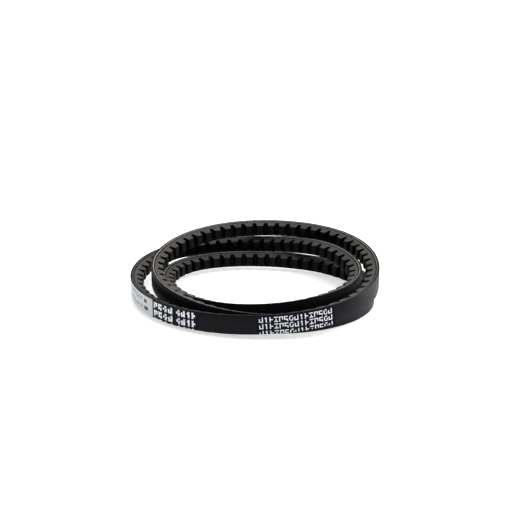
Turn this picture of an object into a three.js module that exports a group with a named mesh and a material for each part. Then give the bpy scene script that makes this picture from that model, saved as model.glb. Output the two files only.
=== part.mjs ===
// Raw-edge cogged V-belt, 13 mm wide, laid down as a three-turn storage coil.
// Millimetres, +Z up. The coil lies on the plane z = 0 and its box is centred on the Z axis.
//
// The belt is one endless loop built up in layers. Every layer is swept along the same line and
// shares the same stations, one per cog pitch, so that neighbouring layers bed on matching facets.
// A section is written as [depth, across]: depth runs inwards from the back face, and across runs
// up the width of the belt from its middle.
import * as THREE from 'three';

// Belt size
const TOP_WIDTH = 13;
const OUTER_LENGTH = 1460;
const THICKNESS = 8.6;
const FLANK_ANGLE = THREE.MathUtils.degToRad(20);

// Layers, as depths below the back face
const PLY_THICKNESS = 0.35;
const TENSION_RUBBER_END = 1.1;
const CORD_DEPTH = 1.65;
const ADHESION_START = 2.2;
const ADHESION_END = 2.9;
const PLY_GAP = 0.02;
const BED_GAP = 0.1;

// Tensile cords: an S-twist and a Z-twist cord wound side by side
const CORD_DIAMETER = 0.9;
const CORD_TURNS = 3;
const CORD_EDGE_MARGIN = 0.55;

// Cogs
const COG_COUNT = 150;
const COG_DEPTH = 4;
const VALLEY_END = 0.28;
const TIP_START = 0.38;
const TIP_END = 0.9;

// Label on the back face, placed in cog pitches from the start of the route
const LABEL_START = -0.9;
const LABEL_END = 5.1;
const LABEL_WIDTH = 12.4;
const LABEL_THICKNESS = 0.12;
const LABEL_GAP = 0.03;

// Coil: the middle of the back face as [radius, height] every 45 degrees through three turns,
// counter-clockwise from above, starting at the -X end
const TURNS = 3;
const ROUTE = [
  [94.5, 10], [83, 8.5], [78.5, 10], [84.5, 16], [81, 23.5], [84.5, 28], [88, 29], [82.5, 27],
  [79.5, 19.5], [72.5, 11.5], [69, 7], [75, 6.5], [79, 6.5], [75.5, 6.5], [74.5, 7], [81, 7.5],
  [71.5, 8], [59, 7.5], [59.5, 10.5], [64, 13.5], [70, 17], [70, 21.5], [86.5, 16], [101, 13.5],
];

// Colours
const COLOURS = {
  fabric: 0x2b2b30,
  rubber: 0x4a4741,
  cord: 0xb9b3a2,
  label: 0xe9eaec,
};

// Slopes of the periodic cubic spline through evenly spaced values.
function splineSlopes(values) {
  const count = values.length;
  let slopes = values.map(() => 0);
  for (let pass = 0; pass < 60; pass += 1) {
    slopes = slopes.map((_, i) => {
      const before = (i + count - 1) % count;
      const after = (i + 1) % count;
      return (3 * (values[after] - values[before]) - slopes[before] - slopes[after]) / 4;
    });
  }
  return slopes;
}

function splineValue(values, slopes, position) {
  const count = values.length;
  const whole = Math.floor(position);
  const i = ((whole % count) + count) % count;
  const j = (i + 1) % count;
  const t = position - whole;
  const t2 = t * t;
  const t3 = t2 * t;
  return (2 * t3 - 3 * t2 + 1) * values[i] + (t3 - 2 * t2 + t) * slopes[i]
    + (3 * t2 - 2 * t3) * values[j] + (t3 - t2) * slopes[j];
}

// A line that follows the coil at a fixed depth below the back face.
class CoilLine extends THREE.Curve {
  constructor(depth, radiusScale) {
    super();
    this.depth = depth;
    this.radii = ROUTE.map(([radius]) => radius * radiusScale);
    this.heights = ROUTE.map(([, height]) => height);
    this.radiusSlopes = splineSlopes(this.radii);
    this.heightSlopes = splineSlopes(this.heights);
    this.arcLengthDivisions = 3600;
  }

  backPoint(t) {
    const position = t * ROUTE.length;
    const angle = Math.PI * (2 * TURNS * t - 1);
    const radius = splineValue(this.radii, this.radiusSlopes, position);
    const height = splineValue(this.heights, this.heightSlopes, position);
    return new THREE.Vector3(radius * Math.cos(angle), radius * Math.sin(angle), height);
  }

  frame(t) {
    const step = 1e-5;
    const point = this.backPoint(t);
    const tangent = this.backPoint(t + step).sub(this.backPoint(t - step)).normalize();
    const inward = new THREE.Vector3(-tangent.y, tangent.x, 0).normalize();
    const up = new THREE.Vector3().crossVectors(tangent, inward);
    return { point, inward, up };
  }

  getPoint(t) {
    const { point, inward } = this.frame(t);
    return point.addScaledVector(inward, this.depth);
  }
}

// The cord line keeps its length however the belt is bent, so the radii are scaled to give it.
function fitCordLine() {
  const cordLength = OUTER_LENGTH - 2 * Math.PI * CORD_DEPTH;
  let scale = 1;
  let line = new CoilLine(CORD_DEPTH, scale);
  for (let pass = 0; pass < 6; pass += 1) {
    scale *= cordLength / line.getLength();
    line = new CoilLine(CORD_DEPTH, scale);
  }
  return line;
}

const cordLine = fitCordLine();
const STATIONS = Array.from({ length: COG_COUNT }, (_, i) => (
  cordLine.frame(cordLine.getUtoTmapping(i / COG_COUNT))
));

// The frame at a distance measured in cog pitches, straight between two stations.
function frameAt(pitches) {
  const whole = Math.floor(pitches);
  const first = STATIONS[((whole % COG_COUNT) + COG_COUNT) % COG_COUNT];
  const second = STATIONS[(((whole + 1) % COG_COUNT) + COG_COUNT) % COG_COUNT];
  const t = pitches - whole;
  return {
    point: first.point.clone().lerp(second.point, t),
    inward: first.inward.clone().lerp(second.inward, t),
    up: first.up.clone().lerp(second.up, t),
  };
}

function ring(pitches, section) {
  const { point, inward, up } = frameAt(pitches);
  return section.map(([depth, across]) => (
    point.clone().addScaledVector(inward, depth).addScaledVector(up, across)
  ));
}

// Skin over a run of rings. An endless run joins its last ring to its first, and any other run is
// capped at both ends. Each quad is split from its lower corner, so neighbouring layers match.
function loft(rings, endless) {
  const sides = rings[0].length;
  const last = endless ? rings.length : rings.length - 1;
  const index = [];
  for (let i = 0; i < last; i += 1) {
    const next = (i + 1) % rings.length;
    for (let j = 0; j < sides; j += 1) {
      const k = (j + 1) % sides;
      const a = i * sides + j;
      const b = i * sides + k;
      const c = next * sides + k;
      const d = next * sides + j;
      if (rings[i][j].z <= rings[i][k].z) {
        index.push(a, b, c, a, c, d);
      } else {
        index.push(a, b, d, b, c, d);
      }
    }
  }
  if (!endless) {
    const end = (rings.length - 1) * sides;
    for (let j = 1; j < sides - 1; j += 1) {
      index.push(0, j + 1, j);
      index.push(end, end + j, end + j + 1);
    }
  }
  const geometry = new THREE.BufferGeometry().setFromPoints(rings.flat());
  geometry.setIndex(index);
  geometry.computeVertexNormals();
  return geometry;
}

// Half the width of the belt at a depth: square-cut plies, then the tapered flanks.
function halfWidth(depth) {
  const taper = Math.max(depth - 2 * PLY_THICKNESS, 0);
  return TOP_WIDTH / 2 - taper * Math.tan(FLANK_ANGLE);
}

function layerSection(start, end) {
  const outer = halfWidth(start);
  const inner = halfWidth(end);
  return [[start, -outer], [end, -inner], [end, inner], [start, outer]];
}

function plainLayer(start, end) {
  const section = layerSection(start, end);
  return loft(STATIONS.map((_, i) => ring(i, section)), true);
}

// Compression rubber: a solid web with the cogs standing inwards from it.
function coggedLayer(start) {
  const valley = layerSection(start, THICKNESS - COG_DEPTH);
  const tip = layerSection(start, THICKNESS);
  const rings = STATIONS.flatMap((_, i) => [
    ring(i, valley),
    ring(i + VALLEY_END, valley),
    ring(i + TIP_START, tip),
    ring(i + TIP_END, tip),
  ]);
  return loft(rings, true);
}

// One cord, wound round the belt several times while it works across the width. Its square section
// has the area of the round cord.
function woundCord(order) {
  const edge = halfWidth(CORD_DEPTH) - CORD_EDGE_MARGIN;
  const pitch = (2 * edge) / (2 * CORD_TURNS + 1);
  const half = (CORD_DIAMETER * Math.sqrt(Math.PI)) / 4;
  const near = CORD_DEPTH - half;
  const far = CORD_DEPTH + half;
  const rings = [];
  for (let i = 0; i <= CORD_TURNS * COG_COUNT; i += 1) {
    const across = -edge + pitch * (order + (2 * i) / COG_COUNT);
    rings.push(ring(i, [
      [near, across - half],
      [far, across - half],
      [far, across + half],
      [near, across + half],
    ]));
  }
  return loft(rings, false);
}

// Label film, bedded on the back face.
function labelFilm() {
  const half = LABEL_WIDTH / 2;
  const near = -LABEL_GAP;
  const far = -LABEL_GAP - LABEL_THICKNESS;
  const section = [[far, -half], [near, -half], [near, half], [far, half]];
  const marks = [LABEL_START];
  for (let i = Math.ceil(LABEL_START); i < LABEL_END; i += 1) {
    marks.push(i);
  }
  marks.push(LABEL_END);
  return loft(marks.map((pitches) => ring(pitches, section)), false);
}

const belt = new THREE.Group();

function addMesh(name, geometry, color, roughness) {
  const mesh = new THREE.Mesh(
    geometry,
    new THREE.MeshStandardMaterial({ color, roughness, metalness: 0 }),
  );
  mesh.name = name;
  belt.add(mesh);
}

const innerPlyStart = PLY_THICKNESS + PLY_GAP;
const tensionStart = 2 * PLY_THICKNESS + PLY_GAP;

addMesh('back_ply_outer', plainLayer(0, PLY_THICKNESS), COLOURS.fabric, 0.75);
addMesh('back_ply_inner', plainLayer(innerPlyStart, 2 * PLY_THICKNESS), COLOURS.fabric, 0.75);
addMesh('tension_rubber', plainLayer(tensionStart, TENSION_RUBBER_END), COLOURS.rubber, 0.8);
addMesh('tensile_cord_s', woundCord(0), COLOURS.cord, 0.7);
addMesh('tensile_cord_z', woundCord(1), COLOURS.cord, 0.7);
addMesh('adhesion_rubber', plainLayer(ADHESION_START, ADHESION_END), COLOURS.rubber, 0.8);
addMesh('compression_rubber', coggedLayer(ADHESION_END + BED_GAP), COLOURS.rubber, 0.85);
addMesh('label_film', labelFilm(), COLOURS.label, 0.45);

// Stand the coil on z = 0 with its box centred on the Z axis.
const box = new THREE.Box3().setFromObject(belt);
const centre = box.getCenter(new THREE.Vector3());
belt.position.set(-centre.x, -centre.y, -box.min.z);
belt.updateMatrixWorld(true);

export default belt;
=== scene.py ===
"""Raw-edge cogged V-belt laid down as a three-turn coil: looks, floor, light and camera.

The belt's own coordinates are used throughout. A place along the belt is a distance in cog
pitches, depth runs inwards from the back face, and across runs up the width from the middle.
"""
import math

import bpy
import numpy as np
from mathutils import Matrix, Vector


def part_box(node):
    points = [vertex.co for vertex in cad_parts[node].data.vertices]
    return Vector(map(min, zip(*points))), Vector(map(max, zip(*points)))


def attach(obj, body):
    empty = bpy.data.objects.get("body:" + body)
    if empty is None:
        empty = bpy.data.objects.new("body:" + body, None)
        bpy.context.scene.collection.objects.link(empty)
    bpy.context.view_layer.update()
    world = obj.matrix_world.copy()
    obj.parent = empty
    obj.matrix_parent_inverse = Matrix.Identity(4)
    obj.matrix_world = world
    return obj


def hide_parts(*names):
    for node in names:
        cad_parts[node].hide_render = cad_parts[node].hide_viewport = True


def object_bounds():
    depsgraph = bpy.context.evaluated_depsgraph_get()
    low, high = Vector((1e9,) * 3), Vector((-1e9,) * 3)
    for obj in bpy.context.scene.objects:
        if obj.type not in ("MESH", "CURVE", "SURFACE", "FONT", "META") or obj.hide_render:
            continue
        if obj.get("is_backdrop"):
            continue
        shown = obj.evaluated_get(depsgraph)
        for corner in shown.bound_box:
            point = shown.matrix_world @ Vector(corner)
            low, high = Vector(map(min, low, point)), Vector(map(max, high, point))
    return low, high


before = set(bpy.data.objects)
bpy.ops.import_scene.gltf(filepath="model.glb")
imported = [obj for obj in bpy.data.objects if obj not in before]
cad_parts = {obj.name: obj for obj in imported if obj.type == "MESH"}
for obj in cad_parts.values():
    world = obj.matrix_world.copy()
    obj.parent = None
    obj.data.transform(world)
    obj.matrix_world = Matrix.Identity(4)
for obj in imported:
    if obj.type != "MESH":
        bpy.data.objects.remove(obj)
cad_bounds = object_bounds()

MM = 0.001

# Belt section, in metres
HALF_WIDTH = 6.5 * MM
THICKNESS = 8.6 * MM
OUTER_LENGTH = 1460 * MM
FLANK_SLOPE = math.tan(math.radians(20))
PLY = 0.35 * MM
TENSION_END = 1.1 * MM
CORD_DEPTH = 1.65 * MM
CORD_RADIUS = 0.45 * MM
CORD_TURNS = 3
CORD_EDGE_MARGIN = 0.55 * MM
ADHESION_END = 2.9 * MM
COG_COUNT = 150
COG_DEPTH = 4 * MM

# Each cog's outline along the belt, in cog pitches: the notch's floor starts at 0
VALLEY_END = 0.28
TIP_START = 0.38
TIP_END = 0.9
VALLEY_EASE = 0.09
TIP_EASE = 0.05

LABEL_SPAN = (-0.9, 5.1)  # in cog pitches
LABEL_HALF = 6.3 * MM
LABEL_BACK, LABEL_FACE = 0.02 * MM, 0.14 * MM  # above the back face

# Middle of the back face: radius and height every 45 degrees through three turns, in metres,
# counter-clockwise from above, starting at the -X end
TURNS = 3
ROUTE = MM * np.array([
    [94.5, 10], [83, 8.5], [78.5, 10], [84.5, 16], [81, 23.5], [84.5, 28], [88, 29], [82.5, 27],
    [79.5, 19.5], [72.5, 11.5], [69, 7], [75, 6.5], [79, 6.5], [75.5, 6.5], [74.5, 7], [81, 7.5],
    [71.5, 8], [59, 7.5], [59.5, 10.5], [64, 13.5], [70, 17], [70, 21.5], [86.5, 16], [101, 13.5],
])


# ---------------------------------------------------------------- the belt's line

RELAXATIONS = 60

def spline_slopes(values):
    """Slopes of the closed cubic spline through values, by repeated relaxation."""
    slopes = np.zeros(len(values))
    for _ in range(RELAXATIONS):
        ahead, behind = np.roll(values, -1), np.roll(values, 1)
        slopes = (3 * (ahead - behind) - np.roll(slopes, -1) - np.roll(slopes, 1)) / 4
    return slopes


def spline_value(values, slopes, position):
    whole = np.floor(position).astype(int)
    i, j, t = whole % len(values), (whole + 1) % len(values), position - whole
    return (
        (2 * t**3 - 3 * t**2 + 1) * values[i]
        + (t**3 - 2 * t**2 + t) * slopes[i]
        + (3 * t**2 - 2 * t**3) * values[j]
        + (t**3 - t**2) * slopes[j]
    )


class BeltLine:
    """The coil's line, with its radii scaled so that the cord line has its true length."""

    def __init__(self):
        self.radii, self.heights = ROUTE[:, 0], ROUTE[:, 1]
        self.height_slopes = spline_slopes(self.heights)
        cord_length = OUTER_LENGTH - 2 * math.pi * CORD_DEPTH
        steps = np.linspace(0, 1, 7201)
        for _ in range(6):
            self.radius_slopes = spline_slopes(self.radii)
            point, inward, _ = self.at(steps)
            gaps = np.linalg.norm(np.diff(point + CORD_DEPTH * inward, axis=0), axis=1)
            self.radii = self.radii * cord_length / gaps.sum()
        self.radius_slopes = spline_slopes(self.radii)
        travelled = np.append(0, np.cumsum(gaps))
        self.steps, self.travelled = steps, travelled / travelled[-1]
        self.pitch = cord_length / COG_COUNT

    def back(self, t):
        position, angle = t * len(ROUTE), math.pi * (2 * TURNS * t - 1)
        radius = spline_value(self.radii, self.radius_slopes, position)
        height = spline_value(self.heights, self.height_slopes, position)
        return np.stack([radius * np.cos(angle), radius * np.sin(angle), height], 1)

    def at(self, t):
        step = 1e-5
        tangent = self.back(t + step) - self.back(t - step)
        tangent /= np.linalg.norm(tangent, axis=1)[:, None]
        inward = np.stack([-tangent[:, 1], tangent[:, 0], 0 * tangent[:, 0]], 1)
        inward /= np.linalg.norm(inward, axis=1)[:, None]
        return self.back(t), inward, np.cross(tangent, inward)

    def frames(self, pitches):
        """Point, inward and up at distances in cog pitches."""
        turns = np.floor(np.asarray(pitches, float) / COG_COUNT)
        part = np.asarray(pitches, float) / COG_COUNT - turns
        return self.at(np.interp(part, self.travelled, self.steps))


line = BeltLine()


def coil_shift():
    """The move that puts the coil where the CAD's back ply is."""
    point, _, up = line.frames(np.arange(COG_COUNT))
    corners = np.concatenate([point + HALF_WIDTH * up, point - HALF_WIDTH * up])
    low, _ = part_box("back_ply_outer")
    return np.array(low) - corners.min(0)


SHIFT = coil_shift()


def place(pitches, depth, across):
    """Points for a grid of depths and acrosses, one row for each pitch."""
    point, inward, up = line.frames(pitches)
    return (
        point[:, None] + depth[..., None] * inward[:, None] + across[..., None] * up[:, None] + SHIFT
    )


def half_width(depth):
    """Half the belt's width at a depth: straight through the plies, then narrowing to the cogs."""
    return HALF_WIDTH - np.maximum(depth - 2 * PLY, 0) * FLANK_SLOPE


# ---------------------------------------------------------------- meshes

def new_object(name, verts, faces, materials):
    mesh = bpy.data.meshes.new(name)
    mesh.from_pydata(verts, [], faces)
    for material in materials:
        mesh.materials.append(material)
    mesh.validate()
    obj = bpy.data.objects.new(name, mesh)
    bpy.context.scene.collection.objects.link(obj)
    return obj


def loft(name, pitches, depth, across, materials, endless=False, pick=None, smooth=35):
    """A closed skin over a grid of sections, capped at both ends unless it is endless. UV maps
    'across' and 'depth' hold millimetres along the belt against millimetres across it and in depth.
    pick(row of face, column) gives a face's material."""
    pitches = np.asarray(pitches, float)
    rows, columns = depth.shape
    verts = place(pitches, depth, across).reshape(-1, 3)
    row_count = rows if endless else rows - 1
    i, j = np.meshgrid(np.arange(row_count), np.arange(columns), indexing="ij")
    i, j = i.ravel(), j.ravel()
    i2, j2 = (i + 1) % rows, (j + 1) % columns
    corners = np.stack([i * columns + j, i * columns + j2, i2 * columns + j2, i2 * columns + j], 1)
    faces = corners.tolist()
    if not endless:
        faces.append(list(range(columns))[::-1])
        faces.append([(rows - 1) * columns + k for k in range(columns)])
    obj = new_object(name, verts.tolist(), faces, materials)
    mesh = obj.data
    along = pitches * line.pitch / MM
    far = np.where(i + 1 < rows, along[i2], along[0] + COG_COUNT * line.pitch / MM)
    near = along[i]
    for layer_name, field in (("across", across), ("depth", depth)):
        uv_layer = mesh.uv_layers.new(name=layer_name)
        flat = field.ravel() / MM
        uv = np.zeros((len(mesh.loops), 2))
        quads = len(corners)
        uv[: quads * 4, 0] = np.stack([near, near, far, far], 1).ravel()
        uv[: quads * 4, 1] = flat[corners.ravel()]
        uv_layer.data.foreach_set("uv", uv.ravel())
    if pick is not None:
        chosen = np.zeros(len(mesh.polygons), int)
        chosen[: len(corners)] = pick(i, j)
        mesh.polygons.foreach_set("material_index", chosen)
    mesh.polygons.foreach_set("use_smooth", [True] * len(mesh.polygons))
    mesh.set_sharp_from_angle(angle=math.radians(smooth))
    return obj


def repeat(section, count):
    """Depth and across grids that hold the same section at every row."""
    section = np.array(section)
    return np.tile(section[:, 0], (count, 1)), np.tile(section[:, 1], (count, 1))


def along_noise(count, size, seed, smoothness=3):
    """Smooth random numbers that join up end to end."""
    values = np.random.default_rng(seed).normal(0, 1, count)
    for _ in range(smoothness):
        values = (values + np.roll(values, 1) + np.roll(values, -1)) / 3
    return size * values / max(values.std(), 1e-9)


def strip_section(start, end, edge=0.0):
    """A layer's section, its outer corners eased by edge."""
    outer, inner = half_width(start), half_width(end)
    middle = (start + end) / 2
    side = half_width(middle)
    return [
        [start, -outer + edge], [start + edge * 0.6, -outer], [middle, -side], [end, -inner],
        [end, 0], [end, inner], [middle, side], [start + edge * 0.6, outer], [start, outer - edge],
        [start, 0],
    ]


FINE = np.arange(0, COG_COUNT, 0.125)


def layer(name, node, start, end, material, edge=0.0, fray=0.0, seed=1):
    depth, across = repeat(strip_section(start, end, edge), len(FINE))
    if fray:
        upper = along_noise(len(FINE), fray, seed)[:, None]
        lower = along_noise(len(FINE), fray, seed + 1)[:, None]
        across = across + np.where(across > 0.8 * HALF_WIDTH, upper, 0)
        across = across + np.where(across < -0.8 * HALF_WIDTH, lower, 0)
        across = np.clip(across, -HALF_WIDTH - 0.05 * MM, HALF_WIDTH + 0.05 * MM)
    obj = loft(name, FINE, depth, across, [material], endless=True)
    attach(obj, "root")
    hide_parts(node)


# ---------------------------------------------------------------- materials

class Nodes:
    """A procedural material, built a node at a time."""

    def __init__(self, name, roughness=0.6, **sockets):
        self.material = bpy.data.materials.new(name)
        self.material.use_nodes = True
        self.tree = self.material.node_tree
        self.shader = self.tree.nodes["Principled BSDF"]
        self.shader.inputs["Roughness"].default_value = roughness
        for key, value in sockets.items():
            self.shader.inputs[key.replace("_", " ")].default_value = value

    def add(self, kind, inputs=None, **settings):
        node = self.tree.nodes.new(kind)
        for key, value in settings.items():
            setattr(node, key, value)
        for key, value in (inputs or {}).items():
            if isinstance(value, bpy.types.NodeSocket):
                self.tree.links.new(value, node.inputs[key])
            else:
                node.inputs[key].default_value = value
        return node

    def where(self, scale=(1, 1, 1)):
        coordinates = self.add("ShaderNodeTexCoord").outputs["Object"]
        return self.add("ShaderNodeMapping", {"Vector": coordinates, "Scale": scale}).outputs[0]

    def uv(self, name, scale=(1, 1, 1), turn=0.0):
        coordinates = self.add("ShaderNodeUVMap", uv_map=name).outputs[0]
        inputs = {"Vector": coordinates, "Scale": scale, "Rotation": (0, 0, turn)}
        return self.add("ShaderNodeMapping", inputs).outputs[0]

    def noise(self, vector, scale, detail=3.0, rough=0.55):
        inputs = {"Vector": vector, "Scale": scale, "Detail": detail, "Roughness": rough}
        return self.add("ShaderNodeTexNoise", inputs).outputs["Fac"]

    def wave(self, vector, scale, distortion=0.0, direction="X"):
        inputs = {"Vector": vector, "Scale": scale, "Distortion": distortion}
        node = self.add("ShaderNodeTexWave", inputs, wave_type="BANDS", bands_direction=direction)
        return node.outputs["Fac"]

    def ramp(self, fac, low, high, start=0.0, end=1.0):
        inputs = {"Value": fac, "From Min": low, "From Max": high, "To Min": start, "To Max": end}
        return self.add("ShaderNodeMapRange", inputs).outputs[0]

    def maths(self, operation, a, b):
        return self.add("ShaderNodeMath", {0: a, 1: b}, operation=operation).outputs[0]

    def mix(self, fac, a, b):
        a, b = [(*c, 1) if isinstance(c, tuple) else c for c in (a, b)]
        return self.add("ShaderNodeMix", {0: fac, 6: a, 7: b}, data_type="RGBA").outputs[2]

    def bump(self, height, strength, distance, normal=None):
        inputs = {"Height": height, "Strength": strength, "Distance": distance}
        if normal is not None:
            inputs["Normal"] = normal
        return self.add("ShaderNodeBump", inputs).outputs[0]

    def finish(self, colour=None, roughness=None, normal=None):
        for key, value in (("Base Color", colour), ("Roughness", roughness), ("Normal", normal)):
            if value is not None:
                self.tree.links.new(value, self.shader.inputs[key])
        return self.material


def grey(value, warm=0.0):
    return (value * (1 + warm), value, value * (1 - warm))


def back_fabric():
    """Rubberised weave on the back face, dark blue-grey with a low sheen."""
    n = Nodes("back_fabric", Specular_IOR_Level=0.08)
    warp = n.wave(n.uv("across", turn=math.radians(30)), 1.1, 0.6)
    weft = n.wave(n.uv("across", turn=math.radians(-30)), 1.1, 0.6)
    weave = n.maths("MAXIMUM", warp, weft)
    cloud = n.noise(n.where(), 35, 4)
    smear = n.noise(n.uv("across", (0.02, 0.35, 1)), 1.0, 4)
    base = n.mix(n.ramp(cloud, 0.3, 0.7), (0.0042, 0.0040, 0.0062), (0.0075, 0.0070, 0.0102))
    base = n.mix(n.ramp(smear, 0.52, 0.75, 0, 0.5), base, (0.013, 0.013, 0.017))
    base = n.mix(n.ramp(weave, 0.0, 0.5, 0.35, 0), base, grey(0.003))
    rough = n.ramp(cloud, 0.3, 0.7, 0.42, 0.54)
    normal = n.bump(weave, 0.18, 0.00012)
    normal = n.bump(n.noise(n.where(), 900, 2), 0.12, 0.0001, normal)
    return n.finish(base, rough, normal)


def fabric_edge():
    """The inner ply, seen only as a cut edge."""
    n = Nodes("fabric_edge", Specular_IOR_Level=0.08)
    threads = n.noise(n.uv("depth", (3.0, 6.0, 1)), 1.0, 2)
    base = n.mix(n.ramp(threads, 0.45, 0.7), grey(0.003), grey(0.014, 0.03))
    return n.finish(base, n.ramp(threads, 0, 1, 0.7, 0.9), n.bump(threads, 0.4, 0.0002))


def cushion_rubber():
    """Plain black rubber round the cords, smoother and darker than the cogged rubber."""
    n = Nodes("cushion_rubber", Specular_IOR_Level=0.08)
    grain = n.noise(n.uv("depth", (0.6, 6.0, 1)), 1.0, 3)
    base = n.mix(n.ramp(grain, 0.35, 0.7), grey(0.005, 0.03), grey(0.018, 0.05))
    return n.finish(base, n.ramp(grain, 0, 1, 0.6, 0.8), n.bump(grain, 0.3, 0.0001))


def flank_rubber():
    """Ground flank: warm grey, with grinding lines along the belt and cut ends of short fibres."""
    n = Nodes("flank_rubber", Specular_IOR_Level=0.12)
    cloud = n.noise(n.where(), 60, 4)
    lines = n.noise(n.uv("depth", (0.12, 5.0, 1)), 1.0, 3)
    fibres = n.noise(n.uv("depth", (1.6, 2.6, 1)), 1.0, 2, 0.5)
    base = n.mix(n.ramp(cloud, 0.3, 0.7), grey(0.034, 0.1), grey(0.072, 0.1))
    base = n.mix(n.ramp(lines, 0.35, 0.6, 0.6, 0), base, grey(0.016, 0.08))
    base = n.mix(n.ramp(fibres, 0.54, 0.66, 0, 0.8), base, grey(0.23, 0.1))
    base = n.mix(n.ramp(fibres, 0.47, 0.34, 0, 0.8), base, grey(0.008, 0.08))
    rough = n.ramp(cloud, 0.2, 0.8, 0.55, 0.7)
    normal = n.bump(lines, 0.25, 0.00015)
    normal = n.bump(fibres, 0.3, 0.0001, normal)
    return n.finish(base, rough, normal)


def cog_rubber():
    """Moulded cog faces: blue-black, with faint mould lines across the belt, and painted shade that
    turns the notch walls and floors near-black below the tips.
    """
    n = Nodes("cog_rubber", Specular_IOR_Level=0.06)
    cloud = n.noise(n.where(), 45, 4)
    mould = n.noise(n.uv("across", (4.0, 0.15, 1)), 1.0, 2)
    depth = n.add("ShaderNodeSeparateXYZ", {"Vector": n.uv("depth")}).outputs["Y"]
    base = n.mix(n.ramp(cloud, 0.3, 0.7), (0.0012, 0.0013, 0.0022), (0.0030, 0.0030, 0.0044))
    base = n.mix(n.ramp(mould, 0.55, 0.75, 0, 0.5), base, (0.009, 0.009, 0.011))
    # painted shade: faces shallower than 8.1 mm depth (the notch walls and floors) fade to near-black,
    # while the tips, from 8.5 mm depth, keep the moulded colour
    base = n.mix(n.ramp(depth, 8.5, 8.1), base, grey(0.0007, -0.1))
    rough = n.ramp(cloud, 0.2, 0.8, 0.42, 0.6)
    return n.finish(base, rough, n.bump(mould, 0.2, 0.0001))


def cord_yarn():
    """Twisted polyester cord, cream, smeared with rubber where the flank cuts it, and darker over one
    fixed stretch of the belt.
    """
    n = Nodes("cord_yarn", Specular_IOR_Level=0.3)
    lay = n.wave(n.uv("depth", turn=math.radians(25)), 1.3, 1.2)
    smear = n.noise(n.uv("depth", (0.25, 2.0, 1)), 1.0, 4)
    base = n.mix(lay, grey(0.26, 0.1), grey(0.46, 0.1))
    along = n.add("ShaderNodeSeparateXYZ", {"Vector": n.uv("depth")}).outputs["X"]
    # darker over a fixed stretch: up to 230 mm and beyond 1370 mm along the belt, fading out between
    # 230 and 290 mm and between 1290 and 1370 mm. On the cut cords this is the stretch either side of
    # the belt's start; on the wound cords it is everything past 1370 mm. The smear noise then adds
    # rubber smears anywhere.
    cord_darkening = n.maths("MAXIMUM", n.ramp(along, 230, 290, 1, 0), n.ramp(along, 1290, 1370, 0, 1))
    cord_darkening = n.maths("MAXIMUM", n.maths("MULTIPLY", cord_darkening, 0.85), n.ramp(smear, 0.5, 0.68, 0, 0.75))
    base = n.mix(cord_darkening, base, grey(0.035, 0.08))
    return n.finish(base, n.ramp(smear, 0, 1, 0.6, 0.85), n.bump(lay, 0.5, 0.0002))


def label_white():
    """The label's smooth white film."""
    n = Nodes("label_white", Specular_IOR_Level=0.5)
    cloud = n.noise(n.where(), 50, 3)
    base = n.mix(n.ramp(cloud, 0.3, 0.7), (0.47, 0.49, 0.52), (0.60, 0.62, 0.65))
    rough = n.ramp(cloud, 0.3, 0.7, 0.32, 0.45)
    return n.finish(base, rough, n.bump(cloud, 0.08, 0.0003))


def ink(name, colour, worn):
    """Printed ink, thinned a little where it has rubbed."""
    n = Nodes(name, Specular_IOR_Level=0.4)
    rub = n.noise(n.where(), 700, 3)
    base = n.mix(n.ramp(rub, 0.55, 0.72, 0, worn), colour, grey(0.06))
    return n.finish(base, n.ramp(rub, 0.3, 0.7, 0.45, 0.65), n.bump(rub, 0.1, 0.0001))


def print_ground():
    """The blue-black band that the white marks are printed on."""
    n = Nodes("print_ground", Specular_IOR_Level=0.06)
    cloud = n.noise(n.where(), 120, 4)
    base = n.mix(n.ramp(cloud, 0.3, 0.7), (0.0022, 0.0024, 0.009), (0.0045, 0.005, 0.016))
    return n.finish(base, n.ramp(cloud, 0.3, 0.7, 0.4, 0.55), n.bump(cloud, 0.1, 0.0001))


# ---------------------------------------------------------------- layers

layer("back_ply_outer_cloth", "back_ply_outer", 0, PLY, back_fabric(),
      edge=0.1 * MM, fray=0.02 * MM, seed=3)
layer("back_ply_inner_cloth", "back_ply_inner", PLY, 2 * PLY, fabric_edge(),
      fray=0.02 * MM, seed=7)
cushion = cushion_rubber()
layer("tension_rubber_strip", "tension_rubber", 2 * PLY, TENSION_END, cushion)
layer("adhesion_rubber_strip", "adhesion_rubber", TENSION_END, ADHESION_END, cushion)


def notch_profile():
    """Place and depth round one cog, in pitches and metres, with its corners rounded."""
    valley, tip = THICKNESS - COG_DEPTH, THICKNESS
    corners = [
        (0.0, valley, VALLEY_EASE), (VALLEY_END, valley, VALLEY_EASE),
        (TIP_START, tip, TIP_EASE), (TIP_END, tip, TIP_EASE),
    ]
    count = len(corners)
    profile = []
    for k, (place_k, depth_k, ease) in enumerate(corners):
        before, after = corners[k - 1], corners[(k + 1) % count]
        start = np.array([before[0] - (k == 0), before[1]])
        here = np.array([place_k, depth_k])
        end = np.array([after[0] + (k == count - 1), after[1]])

        def towards(goal):
            step = goal - here
            length = math.hypot(step[0], step[1] / line.pitch)
            return here + step * min(ease / length, 0.48)

        first, last = towards(start), towards(end)
        for t in np.linspace(0, 1, 6):
            profile.append((1 - t) ** 2 * first + 2 * t * (1 - t) * here + t**2 * last)
    return np.array(profile)


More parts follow.
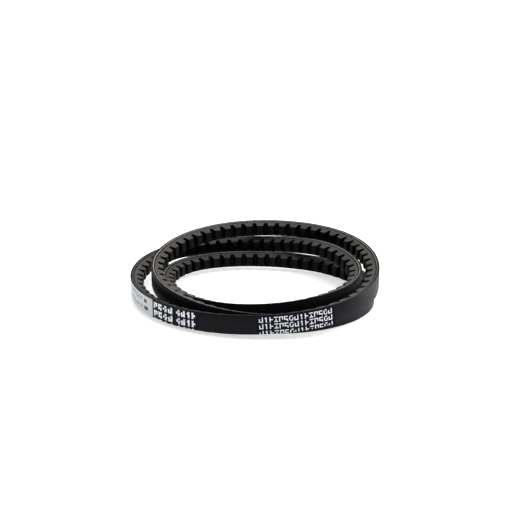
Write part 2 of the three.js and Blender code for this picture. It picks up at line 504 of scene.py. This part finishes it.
def cogged_rubber():
    """The web and its cogs as one skin; the flanks and the cogs' faces differ in material."""
    profile = notch_profile()
    places = (np.arange(COG_COUNT)[:, None] + profile[None, :, 0]).ravel()
    floor = np.tile(profile[:, 1], COG_COUNT)
    start = ADHESION_END
    ease = 0.12 * MM
    columns = []
    for share in (0, 0.35, 0.7, 1):
        columns.append((start + share * (floor - ease - start), "side"))
    columns.append((floor, "rim"))
    columns.append((floor, "third"))
    depth, across = [], []
    for value, kind in columns:
        side = half_width(value)
        if kind == "rim":
            side = side - 0.6 * ease
        if kind == "third":
            side = side / 3
        depth.append(value)
        across.append(side)
    depth = np.array(depth + depth[::-1]).T
    across = np.array([-a for a in across] + across[::-1]).T
    last = depth.shape[1]

    def pick(i, j):
        return np.where((j >= 3) & (j < last - 4), 1, 0)

    materials = [flank_rubber(), cog_rubber()]
    obj = loft("compression_rubber_cogs", places, depth, across, materials, endless=True, pick=pick)
    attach(obj, "root")
    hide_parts("compression_rubber")


cogged_rubber()


# ---------------------------------------------------------------- cords

yarn = cord_yarn()


def wound_cord(name, node, order):
    """One cord, wound CORD_TURNS times from edge to edge beside the other cord."""
    edge = half_width(CORD_DEPTH) - CORD_EDGE_MARGIN
    spacing = 2 * edge / (2 * CORD_TURNS + 1)
    places = np.arange(0, CORD_TURNS * COG_COUNT + 0.25, 0.5)
    centre = -edge + spacing * (order + 2 * places / COG_COUNT)
    angles = np.linspace(0, 2 * math.pi, 8, endpoint=False)
    depth = CORD_DEPTH + CORD_RADIUS * np.cos(angles)[None] + 0 * centre[:, None]
    across = centre[:, None] + CORD_RADIUS * np.sin(angles)[None]
    obj = loft(name, places, depth, across, [yarn], smooth=60)
    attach(obj, "root")
    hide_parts(node)


wound_cord("tensile_cord_s_yarn", "tensile_cord_s", 0)
wound_cord("tensile_cord_z_yarn", "tensile_cord_z", 1)


def cut_cord(name, sign, seed):
    """The outermost windings where the raw edge cuts along them."""
    near, far, proud, buried = 1.35 * MM, 1.95 * MM, 0.05 * MM, 0.15 * MM
    depths = np.array([near, near + 0.1 * MM, (near + far) / 2, far - 0.1 * MM, far, (near + far) / 2])
    lift = np.array([-0.05 * MM, 0.6 * proud, proud, 0.6 * proud, -0.05 * MM, -buried])
    depth = np.tile(depths, (len(FINE), 1)) + along_noise(len(FINE), 0.04 * MM, seed, 4)[:, None]
    across = sign * (half_width(depth) + lift)
    if sign > 0:
        depth, across = depth[:, ::-1], across[:, ::-1]
    obj = loft(name, FINE, depth, across, [yarn], endless=True)
    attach(obj, "root")


cut_cord("tensile_cord_cut_upper", 1, 11)
cut_cord("tensile_cord_cut_lower", -1, 13)


# ---------------------------------------------------------------- label and marks

def film(name, span, half, near, far, material, node):
    """A thin closed sheet on the back, from near to far above it."""
    count = int((span[1] - span[0]) * 8) + 1
    places = np.linspace(*span, count)
    ease = 0.03 * MM
    section = [
        [-far + ease, -half], [-near, -half], [-near, half], [-far + ease, half],
        [-far, half - ease], [-far, 0], [-far, -half + ease],
    ]
    depth, across = repeat(section, count)
    obj = loft(name, places, depth, across, [material])
    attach(obj, "root")
    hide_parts(node)


film("label_film_white", LABEL_SPAN, LABEL_HALF, LABEL_BACK, LABEL_FACE, label_white(), "label_film")


def flat_marks(name, boxes, near, far, material, slot):
    """Ink on the back as thin closed bars: each box is first and last pitch, low and high across in
    mm, and the ink stands from near to far above the back face."""
    verts, faces = [], []
    for first, last, low, high in boxes:
        count = max(2, int((last - first) / 0.1) + 1)
        places = np.linspace(first, last, count)
        across = np.tile([low, low, high, high], (count, 1)) * MM
        depth = np.tile([-near, -far, -far, -near], (count, 1))
        base = len(verts)
        verts.extend(place(places, depth, across).reshape(-1, 3).tolist())
        for k in range(count - 1):
            for j in range(4):
                a, b = base + 4 * k + j, base + 4 * k + (j + 1) % 4
                faces.append((a, a + 4, b + 4, b))
        end = base + 4 * (count - 1)
        faces.append((base, base + 1, base + 2, base + 3))
        faces.append((end + 3, end + 2, end + 1, end))
    obj = new_object(name, verts, faces, [material])
    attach(obj, "root")


def mark_shapes(w, h):
    """Marks that keep a word's rhythm and spell nothing. Each is bars as first, last, low and high in
    a unit cell; w and h are a bar's thickness along and across the belt."""
    return [
        [(0, w, 0, 1), (0.8 - w, 0.8, 0.35, 1), (w, 0.8 - w, 1 - h, 1)],
        [(0, w, 0, 0.7), (0.8 - w, 0.8, 0, 1), (w, 0.8 - w, 0, h)],
        [(0, 0.8, 1 - h, 1), (0, 0.8, 0, h), (0.4 - w / 2, 0.4 + w / 2, h, 0.6)],
        [(0, w, h, 1 - h), (w, 0.7, 1 - h, 1), (w, 0.7, 0, h), (0.8 - w, 0.8, h, 0.55)],
        [(0.1, 0.1 + w, 0, 1), (0.1 + w, 0.75, 0.5 - h / 2, 0.5 + h / 2)],
        [(0, 0.75, 1 - h, 1), (0, w, 0.45, 1 - h), (0, 0.75, 0.45 - h, 0.45), (0.75 - w, 0.75, 0, 0.3)],
        [(0.35, 0.35 + w, 0, 1), (0.2, 0.35, 1 - 1.5 * h, 1 - 0.5 * h)],
    ]


PRINT_EDGE = -6.45  # mm across, where the lowest row runs off the back
THINNEST_MARK = 0.1  # mm


def mark_row(first, last, count, low, high, bar, turn=0):
    """A row of marks from first to last pitch; low, high and the bars' thickness are in mm. turn says
    which shape starts the row."""
    cell = (last - first) / count
    shapes = mark_shapes(bar / (cell * line.pitch / MM), bar / (high - low))
    boxes = []
    for k in range(count):
        for x0, x1, y0, y1 in shapes[(k * 5 + turn) % len(shapes)]:
            bottom = max(low + (high - low) * y0, PRINT_EDGE)
            top = low + (high - low) * y1
            if top - bottom > THINNEST_MARK:
                boxes.append((first + cell * (k + x0), first + cell * (k + x1), bottom, top))
    return boxes


# Heights above the back face
GROUND_INK = (0.002 * MM, 0.012 * MM)
BACK_INK = (0.01 * MM, 0.03 * MM)
LABEL_INK = (0.13 * MM, 0.16 * MM)

ground = print_ground()
ground_left, ground_right = [(5.12, 9.25, -6.3, 6.35)], [(13.1, 18.4, -6.3, 6.35)]
flat_marks("print_ground_left", ground_left, *GROUND_INK, ground, "back_fabric")
flat_marks("print_ground_right", ground_right, *GROUND_INK, ground, "back_fabric")
white = ink("ink_white", (0.80, 0.82, 0.85), 0.4)
left_rows, right_rows = [], []
for low, high in ((1.0, 5.2), (-4.6, -0.3), (-10.2, -5.8)):
    left_rows += mark_row(5.25, 7.2, 4, low, high, 1.5)
    left_rows += mark_row(7.45, 9.05, 4, low, high, 1.35, turn=3)
for low, high in ((1.5, 4.9), (-2.9, 0.5), (-7.4, -4.1)):
    right_rows += mark_row(13.3, 18.2, 15, low, high, 0.62, turn=1)
flat_marks("print_marks_left", left_rows, *BACK_INK, white, "label")
flat_marks("print_marks_right", right_rows, *BACK_INK, white, "label")

faint = ink("ink_faint", (0.045, 0.052, 0.07), 0.2)
label_rows = mark_row(1.4, 3.9, 6, 1.6, 4.6, 0.6, turn=2)
label_rows += mark_row(1.4, 3.9, 6, -3.8, -0.6, 0.6)
flat_marks("label_print", label_rows, *LABEL_INK, faint, "label")
strong = ink("ink_strong", (0.02, 0.022, 0.03), 0.3)
label_ends = [(4.0, 4.35, 1.4, 3.8), (4.0, 4.5, -3.7, -1.0)]
flat_marks("label_print_ends", label_ends, *LABEL_INK, strong, "label")


# ---------------------------------------------------------------- floor, light and camera

def studio_material():
    n = Nodes("studio_floor", Specular_IOR_Level=0.2)
    cloud = n.noise(n.where(), 2, 2)
    base = n.mix(cloud, (0.90, 0.90, 0.90), (0.93, 0.93, 0.93))
    n.shader.inputs["Emission Color"].default_value = (1, 1, 1, 1)
    n.shader.inputs["Emission Strength"].default_value = 0.6
    return n.finish(base, n.ramp(cloud, 0, 1, 0.7, 0.8))


def studio_floor():
    """A pale floor, wide enough to reach past the top of the picture."""
    size, level = 120.0, -0.0002
    verts = [(-size, -size, level), (size, -size, level), (size, size, level), (-size, size, level)]
    new_object("studio_floor", verts, [(0, 1, 2, 3)], [studio_material()])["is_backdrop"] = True


studio_floor()


def softbox(name, position, target, size, power):
    """A rectangular lamp that faces its target."""
    light = bpy.data.lights.new(name, "AREA")
    light.shape = "RECTANGLE"
    light.size, light.size_y = size
    light.energy = power
    obj = bpy.data.objects.new(name, light)
    obj.location = position
    obj.rotation_euler = (Vector(target) - Vector(position)).to_track_quat("-Z", "Y").to_euler()
    bpy.context.scene.collection.objects.link(obj)


def overhead(direction, strength, spread):
    """Even light from a wide overhead scrim."""
    light = bpy.data.lights.new("overhead", "SUN")
    light.energy, light.angle = strength, math.radians(spread)
    obj = bpy.data.objects.new("overhead", light)
    obj.rotation_euler = Vector(direction).to_track_quat("-Z", "Y").to_euler()
    bpy.context.scene.collection.objects.link(obj)


overhead((-0.35, -0.15, -1), 2.4, 80)
softbox("right_light", (0.9, 0.35, 0.25), (0, 0, 0.02), (0.5, 0.5), 9)
softbox("back_light", (0, 1.6, 0.6), (0, 0, 0.02), (2.4, 0.7), 14)

world = bpy.data.worlds.new("studio")
world.use_nodes = True
world.node_tree.nodes["Background"].inputs["Color"].default_value = (1, 1, 1, 1)
world.node_tree.nodes["Background"].inputs["Strength"].default_value = 0.25
bpy.context.scene.world = world
bpy.context.scene.view_settings.view_transform = "Standard"


CAMERA_ELEVATION = math.radians(16.95)
CAMERA_DISTANCE = 0.612
CAMERA_TARGET = (-0.0023, 0, 0.0286)  # from the foot of the coil's axis
SENSOR_WIDTH, LENS = 36, 59.8


def camera():
    """Above the front of the coil, looking down at it."""
    elevation, distance = CAMERA_ELEVATION, CAMERA_DISTANCE
    target = Vector(CAMERA_TARGET) + Vector(SHIFT.tolist())
    data = bpy.data.cameras.new("camera")
    data.sensor_width = SENSOR_WIDTH
    data.lens = LENS
    data.clip_start, data.clip_end = 0.01, 300
    obj = bpy.data.objects.new("camera", data)
    obj.location = target + distance * Vector((0, -math.cos(elevation), math.sin(elevation)))
    obj.rotation_euler = (math.pi / 2 - elevation, 0, 0)
    bpy.context.scene.collection.objects.link(obj)
    bpy.context.scene.camera = obj


camera()

sizes = {"cad": cad_bounds, "visual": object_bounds()}
{key: [list(map(float, corner)) for corner in value] for key, value in sizes.items()}
